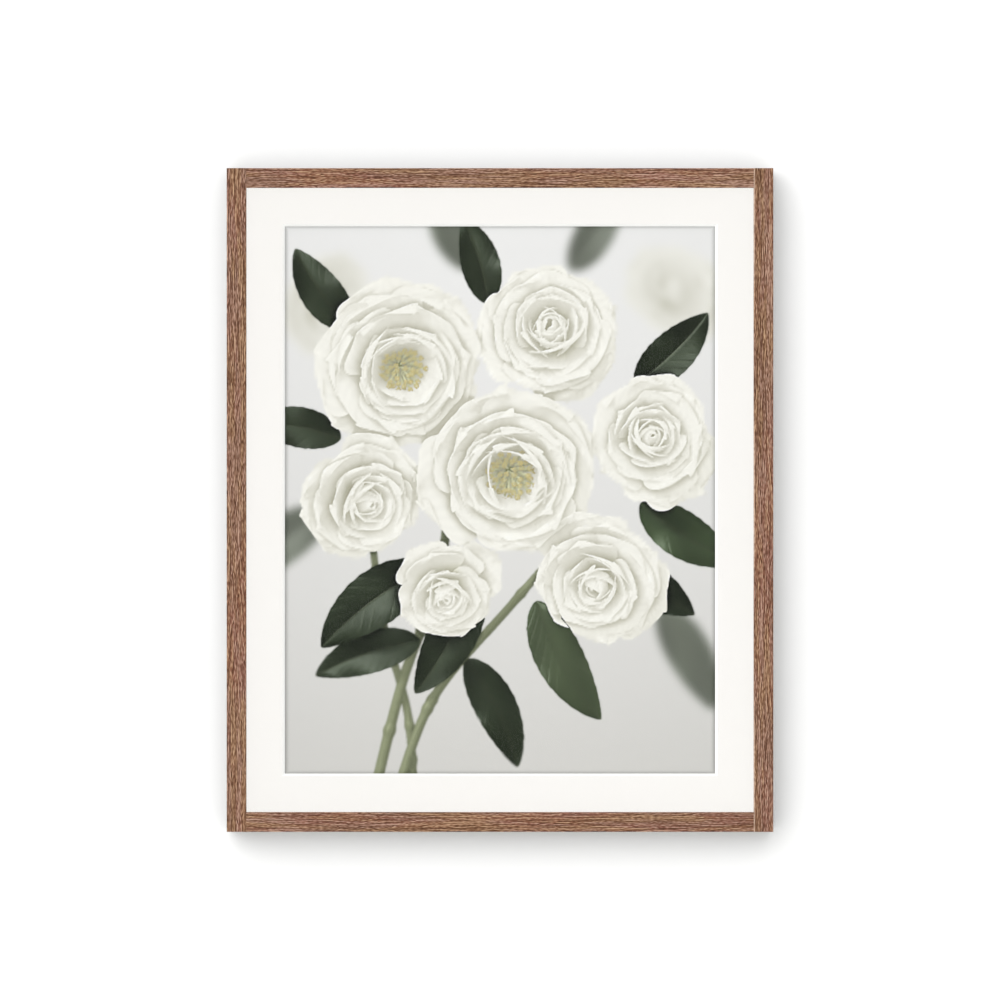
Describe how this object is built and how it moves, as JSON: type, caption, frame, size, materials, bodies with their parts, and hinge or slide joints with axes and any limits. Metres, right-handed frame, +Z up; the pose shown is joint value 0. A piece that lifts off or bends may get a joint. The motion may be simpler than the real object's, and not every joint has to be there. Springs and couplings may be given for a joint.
{
  "type": "framed wall print",
  "caption": "Portrait wall print in a slim brown wood frame with butt-jointed corners, a wide ivory window mat, clear glazing and a sawtooth hanger on the back.",
  "frame": {"origin": "the hanging point: the middle notch of the sawtooth hanger, in the plane of the frame's back", "axes": "+X to the right seen from the front, +Y from the front of the frame towards the wall, +Z up"},
  "size_m": [0.3556, 0.0245, 0.4318],
  "materials": {
    "frame_wood": "open-grain brown wood, matt clear finish",
    "glazing": "clear low-reflection picture glass",
    "mat_board": "ivory mat board, matt, white core",
    "print_paper": "matt art paper with a printed floral design",
    "backing_board": "hardboard, smooth brown side out",
    "point_steel": "dark oiled spring steel strip",
    "hanger_steel": "brass-plated pressed steel",
    "nail_steel": "zinc-plated steel",
    "pad_rubber": "dark matt rubber"
  },
  "bodies": {
    "root": {"stile_left": "frame_wood", "stile_right": "frame_wood", "rail_top": "frame_wood", "rail_bottom": "frame_wood", "glazing": "glazing", "window_mat": "mat_board", "print_sheet": "print_paper", "backing_board": "backing_board", "flex_point_01": "point_steel", "flex_point_02": "point_steel", "flex_point_03": "point_steel", "flex_point_04": "point_steel", "flex_point_05": "point_steel", "flex_point_06": "point_steel", "flex_point_07": "point_steel", "flex_point_08": "point_steel", "flex_point_09": "point_steel", "flex_point_10": "point_steel", "flex_point_11": "point_steel", "flex_point_12": "point_steel", "flex_point_13": "point_steel", "flex_point_14": "point_steel", "corner_v_nail_top_left": "nail_steel", "corner_v_nail_top_right": "nail_steel", "corner_v_nail_bottom_left": "nail_steel", "corner_v_nail_bottom_right": "nail_steel", "sawtooth_hanger": "hanger_steel", "hanger_nail_left": "nail_steel", "hanger_nail_right": "nail_steel", "bumper_left": "pad_rubber", "bumper_right": "pad_rubber"}
  },
  "joints": []
}
